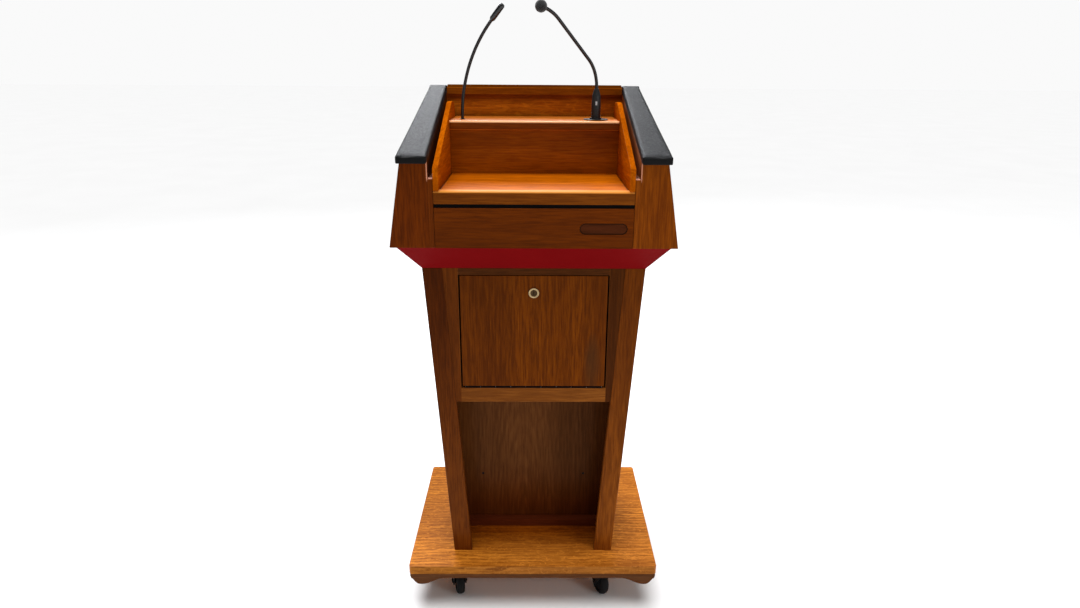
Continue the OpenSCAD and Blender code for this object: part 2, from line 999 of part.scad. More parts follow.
module left_mic_upper_neck() {
    color(black) at_left_foot() translate([0, 0, left_straight - neck_overlap])
        arc_bar(neck_r - neck_ease, left_bend_r, left_split, left_bend);
}

// Places children at an angle along the left neck's arc, with +z along the neck
module on_left_arc(angle) {
    x = left_bend_r * (1 - cos(angle));
    z = left_straight - neck_overlap + left_bend_r * sin(angle);
    at_left_foot() translate([x, 0, z]) rotate([0, angle, 0]) children();
}

module left_mic_capsule() {
    color(black) on_left_arc(left_bend) difference() {
        union() {
            cylinder(r1 = 4.6, r2 = 7, h = 5);
            translate([0, 0, 5]) cylinder(r = 7, h = 39);
            translate([0, 0, 44]) cylinder(r1 = 7, r2 = 5, h = 3);
        }
        for (z = [16 : 5.5 : 38])
            for (a = [0 : 60 : 300])
                rotate([0, 0, a]) translate([5.8, -1.8, z]) cube([3, 3.6, 2.6]);
    }
}

module right_mic_socket() {
    color(black) at_right_foot() difference() {
        union() {
            cylinder(r = 31, h = 2.4);
            translate([0, 0, 2.4]) cylinder(r = 15, h = 3.6);
            translate([0, 0, -shelf_t]) cylinder(r = 12, h = shelf_t + 1);
        }
        translate([0, 0, -18]) cylinder(r = 9.6, h = 40);
        for (a = [45 : 90 : 315])
            rotate([0, 0, a]) translate([24, 0, 1]) cylinder(r = 3, h = 3);
    }
}

module right_mic_plug() {
    color(black) at_right_foot() difference() {
        union() {
            translate([0, 0, -17]) cylinder(r = 9.5, h = 23.2);
            translate([0, 0, 6.2]) cylinder(r = 12, h = 26);
            translate([0, 0, 32.2]) cylinder(r1 = 12, r2 = 10.6, h = right_plug_shoulder - 32.2);
            translate([0, 0, right_plug_shoulder])
                cylinder(r1 = 10.6, r2 = 5.4, h = right_plug_top - right_plug_shoulder);
        }
        translate([0, 0, 58]) cylinder(r = right_neck_r, h = 60);
        for (z = [12 : 6 : 30])
            translate([0, 0, z]) difference() {
                cylinder(r = 14, h = 2);
                cylinder(r = 11, h = 2);
            }
    }
}

module right_mic_lower_neck() {
    color(black) at_right_foot() union() {
        translate([0, 0, 58]) cylinder(r = right_neck_r, h = right_straight - 58);
        translate([0, 0, right_straight - neck_overlap])
            arc_bar(right_neck_r - neck_ease, right_bend_r, 0, right_bend);
    }
}

// The place where the right neck's first bend ends, with +z along the neck
module after_right_bend() {
    x = right_bend_r * (1 - cos(right_bend));
    z = right_straight - neck_overlap + right_bend_r * sin(right_bend);
    at_right_foot() translate([x, 0, z]) rotate([0, right_bend, 0]) children();
}

module right_mic_upper_neck() {
    color(black) after_right_bend() union() {
        cylinder(r = right_neck_r, h = right_reach);
        translate([0, 0, right_reach - neck_overlap])
            arc_bar(right_neck_r - neck_ease, right_end_r, 0, right_end_bend);
    }
}

head_r = 14;
head_gap = 0.1;

module right_mic_head() {
    x = right_end_r * (1 - cos(right_end_bend));
    z = right_reach - neck_overlap + right_end_r * sin(right_end_bend);
    color(black) after_right_bend() translate([x, 0, z]) rotate([0, right_end_bend, 0]) union() {
        translate([0, 0, head_gap]) cylinder(r = 5.2, h = 8);
        translate([0, 0, 14.5]) sphere(r = head_r);
    }
}

// ---------- one line for each piece ----------

base_platform();
base_apron_frame();
caster_mounting_plates();
caster_screws();
caster_fork_near_left();
caster_fork_near_right();
caster_fork_far_left();
caster_fork_far_right();
caster_wheel_near_left();
caster_wheel_near_right();
caster_wheel_far_left();
caster_wheel_far_right();
pedestal_left_side();
pedestal_right_side();
pedestal_audience_panel();
left_leg_board();
right_leg_board();
niche_back_panel();
niche_back_cleat();
niche_panel_screws();
locker_floor();
door_face_frame();
locker_door();
hinge_frame_leaf();
hinge_door_leaf();
hinge_pin();
lock_body();
lock_nut();
lock_plug();
lock_cam();
skirt_frame();
desk_floor();
desk_left_side();
desk_right_side();
desk_audience_panel();
desk_left_rear_board();
desk_right_rear_board();
desk_rear_panel();
desk_left_inner_side();
desk_right_inner_side();
desk_top_rail();
left_armrest_pad();
right_armrest_pad();
blank_name_plate();
tray_floor();
tray_lip();
tray_left_wall();
tray_right_wall();
tray_back_panel();
microphone_shelf();
tray_rest_strip();
left_mic_base();
left_mic_lower_neck();
left_mic_upper_neck();
left_mic_capsule();
right_mic_socket();
right_mic_plug();
right_mic_lower_neck();
right_mic_upper_neck();
right_mic_head();
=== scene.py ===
"""Looks for the lectern podium: studio, camera, wood, padded armrests, goosenecks and casters."""

import math

import bmesh
import bpy
from mathutils import Euler, Matrix, Vector


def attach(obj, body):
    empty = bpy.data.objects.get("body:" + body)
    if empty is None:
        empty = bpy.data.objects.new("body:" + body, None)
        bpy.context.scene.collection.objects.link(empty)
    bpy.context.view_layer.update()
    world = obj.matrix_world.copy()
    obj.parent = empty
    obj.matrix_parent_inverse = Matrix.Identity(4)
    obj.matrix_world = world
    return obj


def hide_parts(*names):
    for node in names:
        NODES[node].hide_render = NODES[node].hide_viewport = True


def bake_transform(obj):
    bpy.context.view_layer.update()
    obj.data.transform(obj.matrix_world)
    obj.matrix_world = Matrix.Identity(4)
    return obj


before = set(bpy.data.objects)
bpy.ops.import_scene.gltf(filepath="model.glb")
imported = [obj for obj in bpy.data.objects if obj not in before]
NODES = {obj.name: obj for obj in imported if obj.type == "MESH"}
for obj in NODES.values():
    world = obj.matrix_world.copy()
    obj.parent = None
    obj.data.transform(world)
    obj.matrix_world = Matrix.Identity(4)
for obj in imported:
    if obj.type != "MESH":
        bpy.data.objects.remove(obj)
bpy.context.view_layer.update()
MM = 0.001


# ---------- node helpers ----------

class Graph:
    """A material's node tree, with short calls to add and link its nodes."""

    def __init__(self, name):
        self.material = bpy.data.materials.new(name)
        self.material.use_nodes = True
        self.tree = self.material.node_tree
        self.shader = self.tree.nodes["Principled BSDF"]

    def add(self, kind, values=None, **settings):
        node = self.tree.nodes.new(kind)
        for key, value in settings.items():
            setattr(node, key, value)
        for key, value in (values or {}).items():
            node.inputs[key].default_value = value
        return node

    def link(self, source, target):
        self.tree.links.new(source, target)

    def feed(self, *pairs):
        """Links or sets each (value, socket); a colour of three numbers is made opaque."""
        for value, socket in pairs:
            if isinstance(value, bpy.types.NodeSocket):
                self.link(value, socket)
            elif isinstance(value, tuple) and len(value) == 3:
                socket.default_value = (*value, 1.0)
            else:
                socket.default_value = value

    def place(self, scale, turn=(0, 0, 0), shift=(0, 0, 0)):
        """Object coordinates, moved, turned and scaled."""
        coords = self.add("ShaderNodeTexCoord")
        mapping = self.add("ShaderNodeMapping", {"Location": shift, "Rotation": turn, "Scale": scale})
        self.link(coords.outputs["Object"], mapping.inputs["Vector"])
        return mapping.outputs["Vector"]

    def noise(self, vector, scale, detail=4.0, roughness=0.55, distortion=0.0):
        node = self.add("ShaderNodeTexNoise", {"Scale": scale, "Detail": detail, "Roughness": roughness,
                                               "Distortion": distortion})
        self.link(vector, node.inputs["Vector"])
        return node.outputs["Fac"]

    def ramp(self, fac, stops, between="LINEAR"):
        """A colour for each place along fac, from stops of a place and its colour."""
        node = self.add("ShaderNodeValToRGB")
        node.color_ramp.interpolation = between
        points = node.color_ramp.elements
        while len(points) < len(stops):
            points.new(0.5)
        for point, (place, colour) in zip(points, stops):
            point.position = place
            point.color = (*colour, 1.0)
        self.link(fac, node.inputs["Fac"])
        return node.outputs["Color"]

    def grey(self, fac, low, high, out_low=0.0, out_high=1.0):
        """fac, mapped from low...high to out_low...out_high and held there."""
        node = self.add("ShaderNodeMapRange", {"From Min": low, "From Max": high, "To Min": out_low,
                                               "To Max": out_high})
        self.link(fac, node.inputs["Value"])
        return node.outputs["Result"]

    def mix(self, fac, first, second, how="MIX"):
        node = self.add("ShaderNodeMix", data_type="RGBA", blend_type=how)
        self.feed((fac, node.inputs[0]), (first, node.inputs[6]), (second, node.inputs[7]))
        return node.outputs[2]

    def math(self, how, first, second=0.0):
        node = self.add("ShaderNodeMath", operation=how)
        self.feed((first, node.inputs[0]), (second, node.inputs[1]))
        return node.outputs[0]

    def bump(self, height, strength, distance, under=None):
        node = self.add("ShaderNodeBump", {"Strength": strength, "Distance": distance})
        self.link(height, node.inputs["Height"])
        if under is not None:
            self.link(under, node.inputs["Normal"])
        return node.outputs["Normal"]

    def finish(self, colour=None, rough=None, normal=None, **values):
        if colour is not None:
            self.link(colour, self.shader.inputs["Base Color"])
        if rough is not None:
            self.link(rough, self.shader.inputs["Roughness"])
        if normal is not None:
            self.link(normal, self.shader.inputs["Normal"])
        for key, value in values.items():
            self.shader.inputs[key.replace("_", " ")].default_value = value
        return self.material


# ---------- materials ----------

GRAIN_STRETCH = {"X": (0.07, 1.0, 1.0), "Y": (1.0, 0.07, 1.0), "Z": (1.0, 1.0, 0.07)}
TINT = (1.0, 0.50, 0.16, 1.0)


def shade(tone, gain):
    """A wood tone made darker or lighter; dark wood is redder and light wood yellower."""
    return (tone[0] * gain, tone[1] * gain ** 1.25, tone[2] * gain ** 1.5)


def grain(g, tone, along, depth, streak, seed):
    """The colour of a board whose grain runs along an axis, and the heights of its fine lines and pores."""
    stretch = GRAIN_STRETCH[along]
    shift = (seed * 1.7, seed * 2.3, seed * 3.1)
    place = g.place(stretch, shift=shift)
    coarse = g.noise(place, 26.0, 5.0, 0.62, 0.9)
    ribbons = g.noise(place, 9.0, 2.0, 0.5, 1.6)
    fine = g.noise(place, 250.0, 4.0, 0.6, 0.15)
    pores = g.noise(g.place(tuple(0.35 * s if s < 1 else 1.0 for s in stretch), shift=shift), 640.0, 2.0, 0.5)
    cloud = g.noise(g.place((1, 1, 1), shift=shift), 3.4, 3.0, 0.5)
    figure = g.math("ADD", g.math("MULTIPLY", coarse, 0.6), g.math("MULTIPLY", ribbons, 0.4))
    low, high = shade(tone, 1.0 - 0.55 * depth), shade(tone, 1.0 + 0.5 * depth)
    colour = g.ramp(figure, [(0.34, low), (0.47, tone), (0.58, high), (0.70, tone)])
    colour = g.mix(g.math("MULTIPLY", g.grey(fine, 0.42, 0.62), streak), colour, shade(tone, 0.45))
    colour = g.mix(g.grey(fine, 0.40, 0.28, 0.0, 0.6 * streak), colour, shade(tone, 1.7))
    colour = g.mix(g.grey(pores, 0.58, 0.70, 0.0, 0.5), colour, shade(tone, 0.3))
    colour = g.mix(g.grey(cloud, 0.35, 0.68, 0.0, 0.5 * depth), colour, low)
    return colour, fine, pores


def varnish(g, colour, fine, pores, gloss, shine):
    """Clear coat over grain: slightly raised lines, and a reflection as strong as shine."""
    rough = g.grey(fine, 0.3, 0.7, gloss, gloss + 0.16)
    normal = g.bump(fine, 0.12, 0.0006)
    normal = g.bump(pores, 0.08, 0.0004, normal)
    return g.finish(colour, rough, normal, Coat_Weight=0.3 * shine, Coat_Roughness=0.2,
                    Specular_IOR_Level=shine, Specular_Tint=TINT)


def wood(name, tone, along="X", depth=0.5, streak=0.35, seed=0.0, gloss=0.34, shine=0.1, extras=()):
    """Clear-coated wood of a mean tone. along is the way its grain runs, depth the strength of its broad
    figure, streak that of its fine lines and shine its reflection; extras add a board's own marks of grain
    and tone, and painted shade and painted highlights."""
    g = Graph(name)
    colour, fine, pores = grain(g, tone, along, depth, streak, seed)
    for extra in extras:
        colour = extra(g, colour, tone)
    return varnish(g, colour, fine, pores, gloss, shine)


def framed(name, rail, stile, edge, seed, extras=()):
    """A face frame: level grain in its rails, upright grain in the stiles beyond edge."""
    g = Graph(name)
    level, fine, pores = grain(g, rail, "X", 0.55, 0.55, seed)
    upright, fine_up, pores_up = grain(g, stile, "Z", 0.55, 0.55, seed + 1.3)
    out = split_place(g)
    beyond = g.grey(g.math("ABSOLUTE", out["X"]), edge, edge + 0.0006)
    colour = g.mix(beyond, level, upright)
    for extra in extras:
        colour = extra(g, colour, rail)
    return varnish(g, colour, g.math("MAXIMUM", fine, fine_up), g.math("MAXIMUM", pores, pores_up), 0.34, 0.1)


def split_place(g, shift=(0, 0, 0)):
    split = g.add("ShaderNodeSeparateXYZ")
    g.link(g.place((1, 1, 1), shift=shift), split.inputs[0])
    return split.outputs


def patch(how, tone, *steps):
    """A change of colour in one part of a board: "MULTIPLY" tints it and "MIX" covers it. Each step is an
    axis, where the change starts and where it is full, in metres; "|X|" is the distance from the middle."""
    def marks(g, colour, _):
        out = split_place(g)
        mask = None
        for axis, start, full in steps:
            value = g.math("ABSOLUTE", out["X"]) if axis == "|X|" else out[axis]
            step = g.grey(value, start, full)
            mask = step if mask is None else g.math("MULTIPLY", mask, step)
        return g.mix(mask, colour, tone, how)
    return marks


def cathedral(at, spacing, stretch, strength, turn=(0, 0, 0)):
    """Nested arches of grain on an upright board, centred on at."""
    def marks(g, colour, tone):
        place = g.place((1.0, 1.0, stretch), turn, (-at[0], -at[1], -at[2] * stretch))
        rings = g.add("ShaderNodeTexWave", {"Scale": 0.314 / spacing, "Distortion": 2.2, "Detail": 3.0,
                                            "Detail Scale": 2.0}, wave_type="RINGS", rings_direction="Y")
        g.link(place, rings.inputs["Vector"])
        lines = g.grey(rings.outputs["Fac"], 0.25, 0.8, 0.0, strength)
        return g.mix(lines, colour, shade(tone, 0.55))
    return marks


def tiger_marks(g, colour, tone):
    """Short wavy dark bars across a level board, and a curly light mottle."""
    wave = g.add("ShaderNodeTexWave", {"Scale": 24.0, "Distortion": 9.0, "Detail": 4.0, "Detail Scale": 1.4,
                                       "Detail Roughness": 0.62}, wave_type="BANDS", bands_direction="Y")
    g.link(g.place((0.30, 1.0, 1.0), shift=(0.4, 0.1, 0)), wave.inputs["Vector"])
    where = g.noise(g.place((1, 1, 1), shift=(2.1, 0.3, 0)), 5.0, 2.0)
    bars = g.math("MULTIPLY", g.grey(wave.outputs["Fac"], 0.55, 0.95), g.grey(where, 0.38, 0.6, 0.45, 0.95))
    colour = g.mix(bars, colour, shade(tone, 0.5))
    curl = g.noise(g.place((1.0, 1.6, 1.0)), 55.0, 4.0, 0.65, 1.8)
    colour = g.mix(g.grey(curl, 0.52, 0.68, 0.0, 0.55), colour, shade(tone, 1.55))
    return colour


# The door's glued strips: half its width, the places of its joints and how dark each strip is
DOOR_HALF = 0.18
DOOR_JOINTS = (-0.046, 0.058, 0.123)
DOOR_SHADES = (0.34, 0.06, 0.0, 0.26)
# The middle and the reach, across and up, of the dark mark low on the door's right
KNOT = {"X": (0.147, 0.022), "Z": (0.70, 0.075)}


def door_marks(g, colour, tone):
    """Glued strips of slightly different tone, with a dark mark low on the right."""
    out = split_place(g)
    places = [0.0] + [(x + DOOR_HALF) / (2 * DOOR_HALF) for x in DOOR_JOINTS]
    strips = g.ramp(g.grey(out["X"], -DOOR_HALF, DOOR_HALF),
                    [(place, (dark, dark, dark)) for place, dark in zip(places, DOOR_SHADES)], "CONSTANT")
    colour = g.mix(strips, colour, shade(tone, 0.35))
    squares = [g.math("POWER", g.math("DIVIDE", g.math("ADD", out[axis], -middle), reach), 2.0)
               for axis, (middle, reach) in KNOT.items()]
    spot = g.math("ADD", *squares)
    ragged = g.math("ADD", spot, g.math("MULTIPLY", g.noise(g.place((1, 1, 0.3)), 30.0, 4.0), 1.2))
    beyond = g.grey(out["X"], DOOR_JOINTS[2], DOOR_JOINTS[2] + 0.002)
    dark = g.math("MULTIPLY", g.grey(ragged, 0.5, 1.9, 0.72, 0.0), beyond)
    return g.mix(dark, colour, (0.045, 0.018, 0.006))


def curly_marks(g, colour, tone):
    """A light curly mottle over level grain."""
    curl = g.noise(g.place((0.5, 1.0, 1.3), shift=(0.7, 0, 0.2)), 42.0, 4.0, 0.6, 2.2)
    return g.mix(g.grey(curl, 0.50, 0.70, 0.0, 0.38), colour, shade(tone, 1.5))


# The audience panel's lean, the place of its outer face (Y + lean * Z) and where its ends go behind the sides
DESK_LEAN = 0.1686
DESK_OUTSIDE = 0.4205
DESK_END = 0.244


def outside_marks(g, colour, _):
    """The darker outer face of the audience panel, and its ends."""
    out = split_place(g)
    depth = g.math("ADD", out["Y"], g.math("MULTIPLY", out["Z"], DESK_LEAN))
    mask = g.math("MAXIMUM", g.grey(depth, DESK_OUTSIDE - 0.010, DESK_OUTSIDE - 0.006),
                  g.grey(g.math("ABSOLUTE", out["X"]), DESK_END, DESK_END + 0.003))
    return g.mix(mask, colour, (0.18, 0.10, 0.07), "MULTIPLY")


# The name plate: its middle across and up, half the length of its straight sides and the radius of its ends
PLATE_MIDDLE = (0.157, 1.0563)
PLATE_REACH, PLATE_R = 0.0414, 0.0120


def plate_gap_shade(g, colour, _):
    """Painted shade: a dark line just inside the name plate's rounded outline, for the gap around it."""
    out = split_place(g)
    x = g.math("SUBTRACT", g.math("ABSOLUTE", g.math("SUBTRACT", out["X"], PLATE_MIDDLE[0])), PLATE_REACH)
    x = g.math("MAXIMUM", x, 0.0)
    z = g.math("SUBTRACT", out["Z"], PLATE_MIDDLE[1])
    away = g.math("SQRT", g.math("ADD", g.math("MULTIPLY", x, x), g.math("MULTIPLY", z, z)))
    return g.mix(g.grey(away, PLATE_R - 0.0022, PLATE_R - 0.0010, 0.0, 0.8), colour, (0.008, 0.002, 0.001))


def paint(name, tone):
    """Satin paint over wood, with faint brush lines and a little dust."""
    g = Graph(name)
    cloud = g.noise(g.place((1, 1, 1)), 7.0, 4.0)
    brush = g.noise(g.place((0.05, 1, 1)), 320.0, 3.0)
    colour = g.mix(g.grey(cloud, 0.3, 0.7), tone, tuple(0.88 * c for c in tone))
    rough = g.grey(brush, 0.3, 0.7, 0.42, 0.55)
    return g.finish(colour, rough, g.bump(brush, 0.12, 0.0004), Specular_IOR_Level=0.04,
                    Specular_Tint=(1.0, 0.12, 0.12, 1.0))


# The depth of the pads' near faces, which get painted shade
PAD_FRONT = -0.2496


def vinyl(name, tone, top):
    """Grained vinyl: small pebbles, a worn sheen and faint creases."""
    g = Graph(name)
    place = g.place((1, 1, 1))
    cells = g.add("ShaderNodeTexVoronoi", {"Scale": 560.0}, feature="DISTANCE_TO_EDGE")
    g.link(place, cells.inputs["Vector"])
    pebble = g.grey(cells.outputs["Distance"], 0.0, 0.35)
    wear = g.noise(place, 11.0, 5.0, 0.6)
    speck = g.noise(place, 420.0, 2.0)
    colour = g.mix(g.grey(wear, 0.35, 0.7), tone, top)
    colour = g.mix(g.grey(pebble, 0.0, 1.0, 0.6, 0.0), colour, tuple(0.4 * c for c in tone))
    colour = g.mix(g.grey(speck, 0.55, 0.75, 0.0, 0.6), colour, tuple(5.0 * c for c in tone))
    # Painted shade: the near faces darkened almost to black.
    near = g.grey(split_place(g)["Y"], PAD_FRONT + 0.004, PAD_FRONT, 0.0, 0.85)
    colour = g.mix(near, colour, (0.001, 0.0008, 0.0006))
    mottle = g.noise(place, 230.0, 3.0, 0.7)
    rough = g.grey(g.math("MULTIPLY", g.math("ADD", speck, mottle), 0.5), 0.36, 0.64, 0.30, 0.70)
    normal = g.bump(pebble, 0.6, 0.0006)
    normal = g.bump(mottle, 0.35, 0.0008, normal)
    normal = g.bump(wear, 0.10, 0.002, normal)
    return g.finish(colour, rough, normal, Specular_IOR_Level=0.12)


def plastic(name, tone, rough=0.45, texture=900.0, depth=0.25, dust=0.12, shine=0.4, extras=()):
    """Moulded black plastic or powder coat: fine texture and a little dust."""
    g = Graph(name)
    place = g.place((1, 1, 1))
    fine = g.noise(place, texture, 2.0)
    cloud = g.noise(place, 35.0, 4.0, 0.65)
    colour = g.mix(g.grey(cloud, 0.42, 0.75, 0.0, dust), tone, (0.22, 0.2, 0.18))
    for extra in extras:
        colour = extra(g, colour, tone)
    return g.finish(colour, g.grey(cloud, 0.3, 0.7, rough - 0.08, rough + 0.12), g.bump(fine, depth, 0.0003),
                    Specular_IOR_Level=shine)


def metal(name, tone, rough=0.3, turned=700.0):
    """Plated or brushed metal with fine tool marks."""
    g = Graph(name)
    marks = g.noise(g.place((1, 0.1, 1)), turned, 2.0)
    smudge = g.noise(g.place((1, 1, 1)), 60.0, 4.0)
    colour = g.mix(g.grey(smudge, 0.3, 0.7), tone, tuple(0.72 * c for c in tone))
    return g.finish(colour, g.grey(smudge, 0.3, 0.75, rough - 0.08, rough + 0.14),
                    g.bump(marks, 0.08, 0.0002), Metallic=1.0)


def foam(name, tone):
    """Open-cell foam for a microphone's windscreen."""
    g = Graph(name)
    place = g.place((1, 1, 1))
    cells = g.add("ShaderNodeTexVoronoi", {"Scale": 900.0})
    g.link(place, cells.inputs["Vector"])
    colour = g.mix(g.grey(cells.outputs["Distance"], 0.0, 0.7), tuple(0.3 * c for c in tone), tone)
    return g.finish(colour, None, g.bump(cells.outputs["Distance"], 0.6, 0.0008), Roughness=0.95,
                    Sheen_Weight=0.3)


# Marks by place, most of them painted shade and painted highlights. OPENING is half the width of the face
# frame's opening, and SLOT_TOP the top of the runners in the narrow slots beside the tray.
OPENING = 0.1826
SLOT_TOP = 1.1684

# The desk, its tray and shelf
# Painted highlight along the lip's rounded top.
LIP_TOP_HIGHLIGHT = patch("MIX", (0.76, 0.28, 0.045), ("Z", 1.1362, 1.1385))
# Painted shade: a dark line where the tray floor meets its walls.
TRAY_JOINT_SHADE = patch("MULTIPLY", (0.35, 0.22, 0.20), ("|X|", 0.2085, 0.2100))
# Painted highlight on the rear boards' inner upright edges beside the slots.
SLOT_ARRIS_HIGHLIGHT = patch("MIX", (0.62, 0.26, 0.15),
                   ("|X|", 0.2390, 0.2372), ("Z", 1.160, 1.168), ("Y", -0.2330, -0.2355))
# Painted highlight along the near top edge of the slot runners.
RUNNER_TOP_HIGHLIGHT = patch("MIX", (0.78, 0.36, 0.24),
                   ("Z", SLOT_TOP - 0.0016, SLOT_TOP - 0.0008), ("Z", SLOT_TOP + 0.0008, SLOT_TOP),
                   ("Y", -0.2190, -0.2200))
SLOT_SHADE = patch("MULTIPLY", (0.52, 0.62, 1.0), ("Z", SLOT_TOP, SLOT_TOP + 0.0006))
# Painted light: the right slot's lining brightened above its runner, as if lit.
SLOT_PAINTED_LIGHT = patch("MULTIPLY", (1.9, 2.6, 18.0), ("Z", SLOT_TOP, SLOT_TOP + 0.0006))
# Painted highlight along the shelf's front top edge.
SHELF_ARRIS_HIGHLIGHT = patch("MIX", (0.98, 0.52, 0.24), ("Y", 0.0175, 0.0155), ("Z", 1.2680, 1.2695))
# Painted shade over the shelf's top behind its front edge.
SHELF_TOP_SHADE = patch("MULTIPLY", (0.88, 0.86, 0.90), ("Y", 0.018, 0.030))
# Painted shade on the shelf's front face.
SHELF_FACE_SHADE = patch("MULTIPLY", (0.28, 0.20, 0.10), ("Y", 0.0135, 0.0128))
RAIL_SHADE = patch("MULTIPLY", (0.30, 0.16, 0.10), ("Z", 1.300, 1.322))
# Painted shade on the top rail's top, behind its near face.
RAIL_TOP_SHADE = patch("MULTIPLY", (0.32, 0.28, 0.20), ("Y", 0.1705, 0.1715))
# Painted shade inside the name plate's pocket.
POCKET_SHADE = patch("MULTIPLY", (0.12, 0.10, 0.10), ("Y", -0.2367, -0.2362))
# A small pale spot on the near side of the right microphone's plug.
PLUG_PALE_SPOT = patch("MIX", (0.45, 0.46, 0.47), ("X", 0.1535, 0.1545), ("X", 0.1590, 0.1580),
                   ("Y", 0.058, 0.056), ("Z", 1.309, 1.311), ("Z", 1.320, 1.318))
# The pedestal, its door and niche
# Painted shade on the face frame's upper rail, under the desk's overhang.
UPPER_RAIL_SHADE = patch("MULTIPLY", (0.30, 0.25, 0.30), ("|X|", OPENING, OPENING - 0.0006), ("Z", 0.9285, 0.9290))
# Painted shade on the right stile beside the leg.
RIGHT_STILE_SHADE = patch("MULTIPLY", (0.55, 0.55, 0.55), ("X", OPENING, OPENING + 0.0006))
# Painted shade: the faces of the opening around the door made near black.
DOOR_REVEAL_SHADE = patch("MULTIPLY", (0.06, 0.06, 0.06), ("|X|", OPENING + 0.0001, OPENING - 0.0004),
                    ("Z", 0.6305, 0.6325), ("Z", 0.9296, 0.9280))
# Painted shade: the door's side edges made near black, in the gaps.
DOOR_SIDES_SHADE = patch("MULTIPLY", (0.06, 0.06, 0.06), ("|X|", 0.1781, 0.1786))
DOOR_JOINT = patch("MULTIPLY", (1.30, 1.35, 1.4), ("X", -0.0470, -0.0464), ("X", -0.0448, -0.0454))
# Painted shade: the legs darker towards the top, under the desk's overhang.
LEG_TOP_SHADE = patch("MULTIPLY", (0.58, 0.47, 0.16), ("Z", 0.20, 0.95))
# More painted shade towards the top of the left leg.
LEG_LEFT_TOP_SHADE = patch("MULTIPLY", (0.75, 0.60, 0.30), ("Z", 0.45, 0.93))
# Painted shade: the niche's back panel darker and redder towards the bottom.
NICHE_LOW_SHADE = patch("MULTIPLY", (0.72, 0.48, 0.32), ("Z", 0.34, 0.20))
# Painted shadow of the right leg over the niche's back panel, darker to the right.
NICHE_RIGHT_SHADOW = patch("MULTIPLY", (0.62, 0.50, 0.42), ("X", 0.06, 0.19))
# The base platform
# Painted shade on the platform's near face.
PLATFORM_FACE_SHADE = patch("MULTIPLY", (0.68, 0.70, 0.90), ("Y", -0.2418, -0.2428))
# Painted shade: the platform darker towards the left.
PLATFORM_LEFT_SHADE = patch("MULTIPLY", (0.92, 0.90, 0.68), ("X", -0.05, -0.22))
# Painted shade on the platform's top inside the niche, darker towards the back.
PLATFORM_NICHE_SHADE = patch("MULTIPLY", (0.46, 0.30, 0.09),
                         ("|X|", 0.205, 0.195), ("Y", -0.190, -0.090), ("Y", 0.0, -0.02))
PLATFORM_SHADOW = patch("MULTIPLY", (0.66, 0.60, 0.60),
                        ("X", -0.03, 0.14), ("X", 0.205, 0.195), ("Y", -0.175, -0.125))

